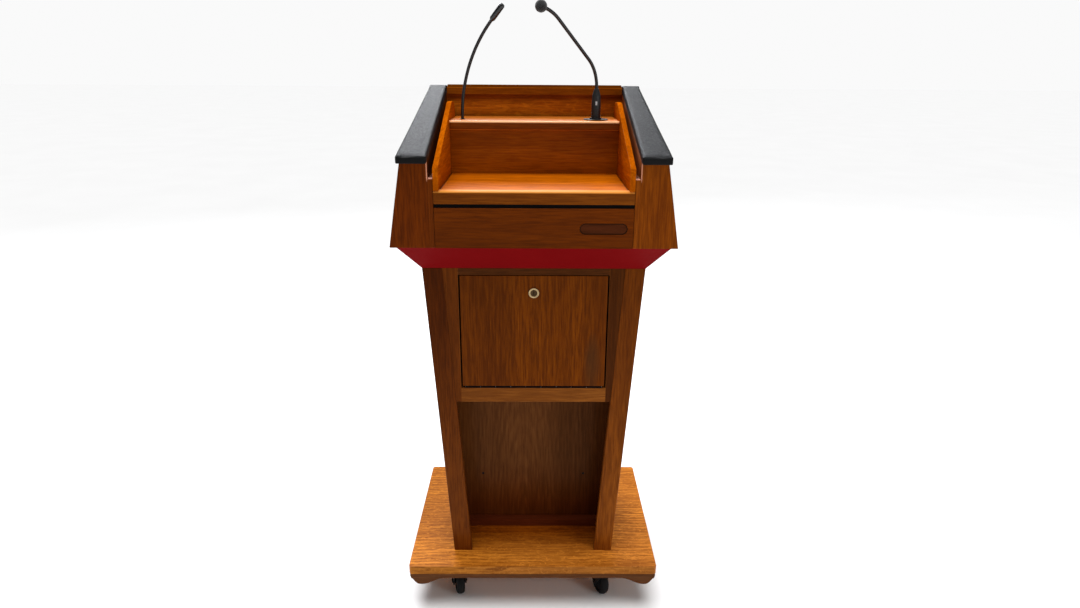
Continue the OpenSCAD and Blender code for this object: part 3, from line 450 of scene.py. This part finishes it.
MATERIALS = {
    "platform": wood("wood_platform", (0.53, 0.170, 0.018), "X", 0.65, 0.65, 1.3,
                     extras=(tiger_marks, PLATFORM_FACE_SHADE, PLATFORM_LEFT_SHADE, PLATFORM_NICHE_SHADE, PLATFORM_SHADOW)),
    "tray": wood("wood_tray_floor", (0.53, 0.118, 0.0008), "X", 0.60, 0.60, 8.2, shine=0.06,
                 extras=(TRAY_JOINT_SHADE,)),
    "tray_back": wood("wood_tray_back", (0.30, 0.070, 0.0010), "X", 0.60, 0.50, 3.7),
    "shelf": wood("wood_shelf", (0.66, 0.19, 0.019), "X", 0.60, 0.45, 4.4, shine=0.12,
                  extras=(SHELF_FACE_SHADE, SHELF_TOP_SHADE, SHELF_ARRIS_HIGHLIGHT)),
    "top_rail": wood("wood_top_rail", (0.235, 0.056, 0.0030), "X", 0.50, 0.45, 4.4, shine=0.0,
                     extras=(RAIL_TOP_SHADE,)),
    "wall": wood("wood_tray_wall", (0.395, 0.081, 0.0009), "Y", 0.60, 0.50, 2.9, shine=0.0),
    # The tray walls' left and right rounded edges: a darker and a lighter copy, painted shade and painted
    # light.
    "wall_edge_left": wood("wood_tray_edge_left", (0.24, 0.060, 0.010), "Y", 0.90, 0.85, 2.9, shine=0.0),
    "wall_edge_right": wood("wood_tray_edge_right", (0.40, 0.120, 0.030), "Y", 0.90, 0.90, 4.9, shine=0.03),
    "lip": wood("wood_tray_lip", (0.158, 0.038, 0.0024), "X", 0.50, 0.50, 5.1, extras=(LIP_TOP_HIGHLIGHT,)),
    "rear": wood("wood_rear_panel", (0.104, 0.0175, 0.0002), "X", 0.45, 0.50, 6.7, extras=(POCKET_SHADE,)),
    "audience": wood("wood_audience_panel", (0.66, 0.215, 0.012), "X", 0.90, 0.60, 6.7,
                     extras=(curly_marks, RAIL_SHADE, outside_marks)),
    "frame": framed("wood_face_frame", (0.205, 0.060, 0.0080), (0.110, 0.023, 0.0016), OPENING, 7.1,
                    extras=(UPPER_RAIL_SHADE, RIGHT_STILE_SHADE, DOOR_REVEAL_SHADE)),
    "side": wood("wood_side", (0.112, 0.0195, 0.0007), "Z", 0.50, 0.50, 3.3),
    # The right rear board's lighter tone than the left's is painted light.
    "rear_left": wood("wood_rear_left", (0.109, 0.0170, 0.0003), "Z", 0.60, 0.65, 3.3, extras=(SLOT_ARRIS_HIGHLIGHT,)),
    "rear_right": wood("wood_rear_right", (0.188, 0.039, 0.0010), "Z", 0.60, 0.65, 4.6, extras=(SLOT_ARRIS_HIGHLIGHT,)),
    # The right leg's lighter tone than the left's is painted light.
    "leg_left": wood("wood_leg_left", (0.130, 0.029, 0.0026), "Z", 0.55, 0.65, 7.7,
                     extras=(LEG_TOP_SHADE, LEG_LEFT_TOP_SHADE)),
    "leg_right": wood("wood_leg_right", (0.210, 0.053, 0.0048), "Z", 0.55, 0.65, 5.7, extras=(LEG_TOP_SHADE,)),
    # The right slot lining's lighter tone than the left's is painted light.
    "slot_left": wood("wood_slot_left", (0.112, 0.0195, 0.0007), "Z", 0.45, 0.45, 9.1,
                      extras=(SLOT_SHADE, RUNNER_TOP_HIGHLIGHT)),
    "slot_right": wood("wood_slot_right", (0.188, 0.040, 0.0017), "Z", 0.45, 0.60, 9.6,
                       extras=(SLOT_PAINTED_LIGHT, RUNNER_TOP_HIGHLIGHT)),
    "door": wood("wood_door", (0.146, 0.0300, 0.0003), "Z", 0.45, 0.80, 2.2,
                 extras=(door_marks, DOOR_JOINT, DOOR_SIDES_SHADE)),
    "niche": wood("wood_niche", (0.125, 0.039, 0.009), "Z", 0.40, 0.50, 5.9,
                  extras=(cathedral((-0.03, -0.04, 0.10), 0.010, 0.16, 0.28), NICHE_LOW_SHADE, NICHE_RIGHT_SHADOW)),
    "niche_low": wood("wood_niche_level", (0.095, 0.016, 0.004), "X", 0.35, 0.35, 6.1),
    "apron": wood("wood_apron", (0.10, 0.034, 0.011), "X", 0.40, 0.40, 4.9),
    "plate": wood("wood_name_plate", (0.056, 0.0110, 0.0028), "X", 0.45, 0.50, 11.9, extras=(plate_gap_shade,)),
    "crimson": paint("crimson_paint", (0.176, 0.0026, 0.0036)),
    "vinyl": vinyl("armrest_vinyl", (0.0050, 0.0054, 0.0062), (0.009, 0.0098, 0.011)),
    "black": plastic("black_moulding", (0.006, 0.006, 0.0065), dust=0.04, extras=(PLUG_PALE_SPOT,)),
    "capsule": plastic("black_capsule", (0.006, 0.006, 0.0065), 0.22, dust=0.02, shine=0.6),
    # Near-black strip under the tray's lip, its blackness partly painted shade for the gap there; the hinge
    # leaves share it.
    "gap": plastic("black_strip", (0.003, 0.0025, 0.0025), 0.9, dust=0.0, shine=0.05),
    "caster": plastic("black_caster", (0.006, 0.0055, 0.0055), 0.4, 500.0, 0.3, 0.03, 0.10),
    "tread": plastic("black_tread", (0.006, 0.0055, 0.0055), 0.6, 300.0, 0.5, 0.04, 0.08),
    "neck": plastic("black_neck", (0.005, 0.005, 0.0055), 0.36, 1400.0, 0.1, 0.03),
    "foam": foam("black_foam", (0.012, 0.012, 0.013)),
    "brass": metal("lock_metal", (0.46, 0.33, 0.17), 0.28),
    "plug": metal("lock_plug_metal", (0.075, 0.045, 0.022), 0.3),
    "steel": metal("plated_steel", (0.55, 0.55, 0.56), 0.3),
    "dark_screw": metal("dark_screw_metal", (0.02, 0.016, 0.014), 0.5),
}

FINISH = {
    "base_platform": "platform", "microphone_shelf": "shelf", "desk_top_rail": "top_rail",
    "tray_floor": "tray", "tray_lip": "lip", "tray_left_wall": "wall", "tray_right_wall": "wall",
    "tray_back_panel": "tray_back", "desk_rear_panel": "rear", "desk_audience_panel": "audience",
    "pedestal_audience_panel": "side", "pedestal_left_side": "side", "pedestal_right_side": "side",
    "left_leg_board": "leg_left", "right_leg_board": "leg_right", "desk_left_side": "side",
    "desk_right_side": "side", "desk_left_rear_board": "rear_left", "desk_right_rear_board": "rear_right",
    "desk_left_inner_side": "slot_left", "desk_right_inner_side": "slot_right", "door_face_frame": "frame",
    "locker_door": "door", "niche_back_panel": "niche", "niche_back_cleat": "niche_low",
    "locker_floor": "niche_low", "desk_floor": "niche_low", "base_apron_frame": "apron",
    "blank_name_plate": "plate", "skirt_frame": "crimson", "tray_rest_strip": "gap", "left_mic_base": "black",
    "left_mic_capsule": "capsule", "right_mic_socket": "black", "right_mic_plug": "black",
    "right_mic_head": "foam",
    "hinge_frame_leaf": "gap", "hinge_door_leaf": "gap", "hinge_pin": "steel", "caster_screws": "steel",
    "lock_body": "brass", "lock_plug": "plug", "lock_nut": "steel", "lock_cam": "steel",
    "niche_panel_screws": "dark_screw", "caster_mounting_plates": "caster",
}

# Edge rounding of each node, in millimetres
ROUNDED = {
    "base_platform": 2.2, "base_apron_frame": 2.5, "left_leg_board": 1.2, "right_leg_board": 1.2,
    "pedestal_left_side": 0.9, "pedestal_right_side": 0.9, "pedestal_audience_panel": 0.9,
    "door_face_frame": 0.8, "locker_door": 0.9, "lock_body": 1.0, "lock_plug": 0.3, "lock_cam": 0.3,
    "skirt_frame": 0.7, "desk_left_side": 0.9, "desk_right_side": 0.9, "desk_audience_panel": 0.9,
    "desk_left_rear_board": 1.6, "desk_right_rear_board": 1.6, "desk_rear_panel": 0.7,
    "desk_left_inner_side": 1.6, "desk_right_inner_side": 1.6, "desk_top_rail": 1.5,
    "tray_left_wall": 4.5, "tray_right_wall": 4.5, "tray_lip": 1.0, "tray_back_panel": 0.8,
    "tray_rest_strip": 0.6, "microphone_shelf": 3.0, "blank_name_plate": 0.35, "caster_mounting_plates": 0.5,
    "left_mic_base": 0.4, "right_mic_socket": 0.6, "right_mic_plug": 0.6, "left_mic_capsule": 0.35,
}
# A second material on the rounded edges; the tray walls' left one is a shaded copy and their right one a lit
# copy, painted shade and painted light
EDGES = {"tray_left_wall": "wall_edge_left", "tray_right_wall": "wall_edge_right"}


def dress(node, material, round_mm=0.0, edge=None):
    """Gives a CAD node its material and, with modifiers, its rounded edges."""
    obj = NODES[node]
    obj.data.materials.clear()
    obj.data.materials.append(MATERIALS[material])
    weld = obj.modifiers.new("weld", "WELD")
    weld.merge_threshold = 1e-5
    if round_mm:
        bevel = obj.modifiers.new("round", "BEVEL")
        bevel.width = round_mm * MM
        bevel.segments = 3
        bevel.limit_method = "ANGLE"
        bevel.angle_limit = math.radians(35)
        bevel.harden_normals = False
        if edge:
            obj.data.materials.append(MATERIALS[edge])
            bevel.material = 1


def dress_all():
    for node, material in FINISH.items():
        dress(node, material, ROUNDED.get(node, 0.0), EDGES.get(node))
    for corner in ("near_left", "near_right", "far_left", "far_right"):
        dress("caster_fork_" + corner, "caster", 0.5)
        dress("caster_wheel_" + corner, "tread", 0.0)


# ---------- armrest pads ----------

# The pads of the frame, in its millimetres: thickness, ends, sides, and the slope that they rest on
PAD_THICK = 18.0
PAD_NEAR, PAD_FAR = -250.5, 193.0
PAD_INNER, PAD_OUTER_NEAR, PAD_OUTER_FAR = 234.0, 304.5, 282.5
PAD_REST, PAD_SLOPE = 1200.0, 0.3077
# Rounding of the edges and of the near corners, room left for the crown, and the size of the cloth's cells
PAD_ROUND = 4.2
PAD_CORNER = 7.0
PAD_SETBACK = 0.9
PAD_CELL = 6.5
# The height above the slope of the underside, and the lowest that it may end up
PAD_GAP, PAD_FLOOR = 0.3, 0.2
# The cloth: how far it may swell, for how many frames, and its settings
PAD_CAP = 1.4
CLOTH_FRAMES = 20
CLOTH = {
    "quality": 6, "mass": 0.3, "tension_stiffness": 25, "compression_stiffness": 25, "shear_stiffness": 12,
    "bending_stiffness": 3, "use_pressure": True, "uniform_pressure_force": 3.0,
}


def pad_under(y):
    """The height of the slope under the pads at a depth y, in millimetres."""
    return PAD_REST + PAD_SLOPE * (y - PAD_NEAR)


def pad_steps(length):
    """Places along an edge: close together in its rounded ends, a cell apart between them."""
    ends = [0.0, 0.12 * PAD_ROUND, 0.35 * PAD_ROUND, 0.65 * PAD_ROUND, PAD_ROUND]
    count = max(1, round((length - 2 * PAD_ROUND) / PAD_CELL))
    middle = [PAD_ROUND + (length - 2 * PAD_ROUND) * k / count for k in range(1, count)]
    return ends + middle + [length - e for e in reversed(ends)]


def rounded_point(p, size):
    """A point of a box's skin, moved onto the same box with rounded edges and rounder near corners."""
    core = [min(max(c, PAD_ROUND), s - PAD_ROUND) for c, s in zip(p, size)]
    off = [c - k for c, k in zip(p, core)]
    far = math.sqrt(sum(c * c for c in off))
    if far > PAD_ROUND:
        off = [c * PAD_ROUND / far for c in off]
    x, y, z = (k + c for k, c in zip(core, off))
    cx = min(max(x, PAD_CORNER), size[0] - PAD_CORNER)
    cy = max(y, PAD_CORNER)
    far = math.hypot(x - cx, y - cy)
    if far > PAD_CORNER:
        x, y = cx + (x - cx) * PAD_CORNER / far, cy + (y - cy) * PAD_CORNER / far
    return x, y, z


def pad_place(side, x, y, z, width, length):
    """A point of the pad's box, in millimetres from its inner near lower corner, as a place in the frame."""
    along = y / length
    at_y = PAD_NEAR + PAD_SETBACK + y
    outer = PAD_OUTER_NEAR + (PAD_OUTER_FAR - PAD_OUTER_NEAR) * along - PAD_SETBACK
    inner = PAD_INNER + PAD_SETBACK
    return Vector((side * (inner + (outer - inner) * x / width), at_y, pad_under(at_y) + PAD_GAP + z)) * MM


def new_object(name, mesh_builder, material=None, smooth=True):
    """An object with the mesh that mesh_builder makes."""
    mesh = bpy.data.meshes.new(name)
    bm = bmesh.new()
    mesh_builder(bm)
    bmesh.ops.recalc_face_normals(bm, faces=bm.faces)
    bm.to_mesh(mesh)
    bm.free()
    for polygon in mesh.polygons:
        polygon.use_smooth = smooth
    obj = bpy.data.objects.new(name, mesh)
    bpy.context.scene.collection.objects.link(obj)
    if material:
        mesh.materials.append(MATERIALS[material])
    return obj


def apply_modifiers(obj):
    graph = bpy.context.evaluated_depsgraph_get()
    done = bpy.data.meshes.new_from_object(obj.evaluated_get(graph), depsgraph=graph)
    obj.modifiers.clear()
    obj.data = done


def simulate(obj, rest, pinned, cap):
    """Swells a closed skin with cloth, holding the pinned vertices and moving none further than cap."""
    group = obj.vertex_groups.new(name="held")
    group.add(pinned, 1.0, "REPLACE")
    cloth = obj.modifiers.new("cloth", "CLOTH")
    for key, value in CLOTH.items():
        setattr(cloth.settings, key, value)
    cloth.settings.effector_weights.gravity = 0.0
    cloth.settings.vertex_group_mass = "held"
    cloth.collision_settings.use_collision = False
    scene = bpy.context.scene
    for step in range(1, CLOTH_FRAMES + 1):
        scene.frame_set(step)
    graph = bpy.context.evaluated_depsgraph_get()
    moved = [v.co.copy() for v in obj.evaluated_get(graph).to_mesh().vertices]
    obj.modifiers.clear()
    obj.vertex_groups.clear()
    scene.frame_set(1)
    for vertex, new, old in zip(obj.data.vertices, moved, rest):
        step = new - old
        if step.length > cap:
            step *= cap / step.length
        vertex.co = old + step


def armrest(side):
    """One padded armrest: a rounded block with a flat underside, swollen by cloth into a low crown."""
    name = ("left" if side < 0 else "right") + "_armrest_cushion"
    width = PAD_OUTER_NEAR - PAD_INNER - 2 * PAD_SETBACK
    length = PAD_FAR - PAD_NEAR - 2 * PAD_SETBACK
    size = (width, length, PAD_THICK - PAD_SETBACK)
    steps = [pad_steps(reach) for reach in size]

    def block(bm):
        found = {}

        def corner(i, j, k):
            if (i, j, k) not in found:
                p = rounded_point((steps[0][i], steps[1][j], steps[2][k]), size)
                found[i, j, k] = bm.verts.new(pad_place(side, *p, width, length))
            return found[i, j, k]

        for axis in range(3):
            a, b = [n for n in range(3) if n != axis]
            for end in (0, len(steps[axis]) - 1):
                for u in range(len(steps[a]) - 1):
                    for v in range(len(steps[b]) - 1):
                        ring = []
                        for du, dv in ((0, 0), (1, 0), (1, 1), (0, 1)):
                            key = [0, 0, 0]
                            key[axis], key[a], key[b] = end, u + du, v + dv
                            ring.append(corner(*key))
                        bm.faces.new(ring)

    obj = new_object(name, block, "vinyl")
    mesh = obj.data
    rest = [v.co.copy() for v in mesh.vertices]
    pinned = [v.index for v in mesh.vertices if v.co.z - pad_under(v.co.y / MM) * MM < PAD_ROUND * MM]
    simulate(obj, rest, pinned, PAD_CAP * MM)
    for vertex in mesh.vertices:
        floor = (pad_under(vertex.co.y / MM) + PAD_FLOOR) * MM
        vertex.co.z = max(vertex.co.z, floor)
    subdivide = obj.modifiers.new("finer", "SUBSURF")
    subdivide.levels = subdivide.render_levels = 1
    apply_modifiers(obj)
    for polygon in obj.data.polygons:
        polygon.use_smooth = True
    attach(obj, "lectern_body")
    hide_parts("left_armrest_pad" if side < 0 else "right_armrest_pad")


# ---------- gooseneck microphones ----------

# Each neck stands in an upright plane of its own: its foot on the shelf, the way it leans in degrees from +X,
# and the radius of its ribbed skin. Its lengths are straight ("line", mm) or curved ("arc", radius, degrees).
SHELF_Z = 1273.0
LEFT_NECK = {"foot": (-183.8, 67.5), "lean": -27.0, "skin": 4.05}
RIGHT_NECK = {"foot": (156.5, 64.0), "lean": 222.0, "skin": 4.15}
LEFT_START, LEFT_RISE = 0.5, 5.9
LEFT_RADIUS, LEFT_SPLIT, LEFT_TURN = 335.7, 25.0, 42.7
LEFT_LOWER = [("line", LEFT_RISE - LEFT_START), ("arc", LEFT_RADIUS, LEFT_SPLIT)]
LEFT_UPPER = [("arc", LEFT_RADIUS, LEFT_TURN - LEFT_SPLIT)]
RIGHT_START, RIGHT_RISE = 66.0, 78.6
RIGHT_LOWER = [("line", RIGHT_RISE - RIGHT_START), ("arc", 88.8, 49.7)]
RIGHT_UPPER = [("line", 135.7), ("arc", 108.3, 25.7)]
TRACE_STEP = 0.45
RING_PITCH = 1.9
RING_DEPTH = 0.22
RING_SIDES = 14


def in_plane(neck, points):
    """Points (out, up) in a neck's own upright plane, as places in the frame."""
    x, y = neck["foot"]
    a = math.radians(neck["lean"])
    return [Vector((x + out * math.cos(a), y + out * math.sin(a), SHELF_Z + up)) * MM for out, up in points]


def trace(segments, start, heading=0.0):
    """Points along straight and curved lengths, with the place and the heading at their end."""
    x, z = start
    a = math.radians(heading)
    points = [(x, z)]
    for segment in segments:
        length = segment[1] if segment[0] == "line" else segment[1] * math.radians(segment[2])
        count = max(2, round(length / TRACE_STEP))
        for _ in range(count):
            if segment[0] == "arc":
                a += math.radians(segment[2]) / count * 0.5
            x += math.sin(a) * length / count
            z += math.cos(a) * length / count
            if segment[0] == "arc":
                a += math.radians(segment[2]) / count * 0.5
            points.append((x, z))
    return points, (x, z), math.degrees(a)


def gooseneck(name, neck, points):
    """A ribbed tube along points in the neck's plane."""
    path = in_plane(neck, points)
    a = math.radians(neck["lean"])
    across = Vector((-math.sin(a), math.cos(a), 0))

    def tube(bm):
        rings = []
        run = 0.0
        for i, p in enumerate(path):
            ahead = path[min(i + 1, len(path) - 1)] - path[max(i - 1, 0)]
            if i:
                run += (p - path[i - 1]).length / MM
            up = ahead.normalized().cross(across)
            rib = abs(math.sin(math.pi * run / RING_PITCH))
            r = (neck["skin"] - RING_DEPTH * (1 - rib) ** 1.5) * MM
            rings.append([bm.verts.new(p + (across * math.cos(t) + up * math.sin(t)) * r)
                          for t in (2 * math.pi * k / RING_SIDES for k in range(RING_SIDES))])
        for low, high in zip(rings, rings[1:]):
            for k in range(RING_SIDES):
                j = (k + 1) % RING_SIDES
                bm.faces.new((low[k], low[j], high[j], high[k]))
        bm.faces.new(rings[0][::-1])
        bm.faces.new(rings[-1])

    return new_object(name, tube, "neck"), path


def bending_neck(name, node, neck, points):
    """A length of gooseneck in place of a node, which is hidden."""
    piece, path = gooseneck(name, neck, points)
    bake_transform(piece)
    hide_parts(node)


def microphones():
    low, at, turn = trace(LEFT_LOWER, (0.0, LEFT_START))
    high, _, _ = trace(LEFT_UPPER, at, turn)
    bending_neck("left_gooseneck_lower", "left_mic_lower_neck", LEFT_NECK, low)
    bending_neck("left_gooseneck_upper", "left_mic_upper_neck", LEFT_NECK, high)

    low, at, turn = trace(RIGHT_LOWER, (0.0, RIGHT_START))
    high, _, _ = trace(RIGHT_UPPER, at, turn)
    bending_neck("right_gooseneck_lower", "right_mic_lower_neck", RIGHT_NECK, low)
    bending_neck("right_gooseneck_upper", "right_mic_upper_neck", RIGHT_NECK, high)


# ---------- studio ----------

# Lens in millimetres on a 36 mm sensor, angles in degrees and place in metres
CAMERA = dict(lens=23.747, pitch=18.858, yaw=-0.5567, roll=0.383, at=(-0.00086, -1.81235, 1.41554))
# Strengths of the world's light and the lights, and the tone of the world as it is seen
FILL = 0.20
CEILING = 2.9
FRONT = 14
BEHIND = 178
BACKDROP = (0.955, 0.955, 0.955, 1)
COOL = (0.965, 0.985, 1.03)
FLOOR_REACH = 40.0


def camera():
    """The camera, turned by its pitch, yaw and roll."""
    data = bpy.data.cameras.new("camera")
    data.sensor_fit = "HORIZONTAL"
    data.sensor_width = 36.0
    data.lens = CAMERA["lens"]
    data.clip_start = 0.05
    data.clip_end = 100.0
    p, y, r = (math.radians(CAMERA[k]) for k in ("pitch", "yaw", "roll"))
    turn = Matrix.Rotation(y, 3, "Z")
    forward = turn @ Vector((0, math.cos(p), -math.sin(p)))
    right = turn @ Vector((1, 0, 0))
    up = turn @ Vector((0, math.sin(p), math.cos(p)))
    across = right * math.cos(r) + up * math.sin(r)
    above = up * math.cos(r) - right * math.sin(r)
    matrix = Matrix((across, above, -forward)).transposed().to_4x4()
    matrix.translation = Vector(CAMERA["at"])
    obj = bpy.data.objects.new("camera", data)
    obj.matrix_world = matrix
    bpy.context.scene.collection.objects.link(obj)
    bpy.context.scene.camera = obj


def area_light(name, at, aim, size, power, tone=(1, 1, 1)):
    data = bpy.data.lights.new(name, "AREA")
    data.shape = "RECTANGLE"
    data.size, data.size_y = size
    data.energy = power
    data.color = tone
    obj = bpy.data.objects.new(name, data)
    obj.location = at
    obj.rotation_euler = (Vector(aim) - Vector(at)).to_track_quat("-Z", "Y").to_euler()
    bpy.context.scene.collection.objects.link(obj)


def sun_light(name, lean, spread, strength):
    """A broad ceiling light; lean is its tilt to the speaker's side and to the right, in degrees."""
    data = bpy.data.lights.new(name, "SUN")
    data.energy = strength
    data.angle = math.radians(spread)
    obj = bpy.data.objects.new(name, data)
    obj.rotation_euler = Euler((math.radians(lean[0]), math.radians(lean[1]), 0))
    bpy.context.scene.collection.objects.link(obj)


def studio():
    """A pale paper floor under a pale world, one ceiling light and two area lights."""
    def plane(bm):
        bmesh.ops.create_grid(bm, x_segments=1, y_segments=1, size=FLOOR_REACH)

    floor = new_object("studio_floor", plane, smooth=False)
    g = Graph("studio_floor_paper")
    cloud = g.noise(g.place((1, 1, 1)), 1.5, 3.0)
    colour = g.mix(g.grey(cloud, 0.3, 0.7), (0.88, 0.88, 0.88), (0.86, 0.86, 0.86))
    floor.data.materials.append(g.finish(colour, None, None, Roughness=0.9, Specular_IOR_Level=0.1))

    world = bpy.data.worlds.new("studio")
    bpy.context.scene.world = world
    world.use_nodes = True
    tree = world.node_tree
    back = tree.nodes["Background"]
    seen = tree.nodes.new("ShaderNodeBackground")
    seen.inputs["Color"].default_value = BACKDROP
    back.inputs["Color"].default_value = (1, 1, 1, 1)
    back.inputs["Strength"].default_value = FILL
    path = tree.nodes.new("ShaderNodeLightPath")
    pick = tree.nodes.new("ShaderNodeMixShader")
    tree.links.new(path.outputs["Is Camera Ray"], pick.inputs[0])
    tree.links.new(back.outputs[0], pick.inputs[1])
    tree.links.new(seen.outputs[0], pick.inputs[2])
    tree.links.new(pick.outputs[0], tree.nodes["World Output"].inputs["Surface"])
    sun_light("ceiling", (7, 0), 45, CEILING)
    area_light("front_right", (1.9, -1.8, 1.0), (0.0, -0.1, 0.7), (0.6, 1.2), FRONT)
    area_light("behind_above", (-0.64, 2.6, 3.5), (0.0, 0.0, 1.2), (2.4, 1.2), BEHIND, COOL)


def colour_look():
    view = bpy.context.scene.view_settings
    view.view_transform = "Standard"
    view.look = "None"


camera()
studio()
colour_look()
dress_all()
armrest(-1)
armrest(1)
microphones()
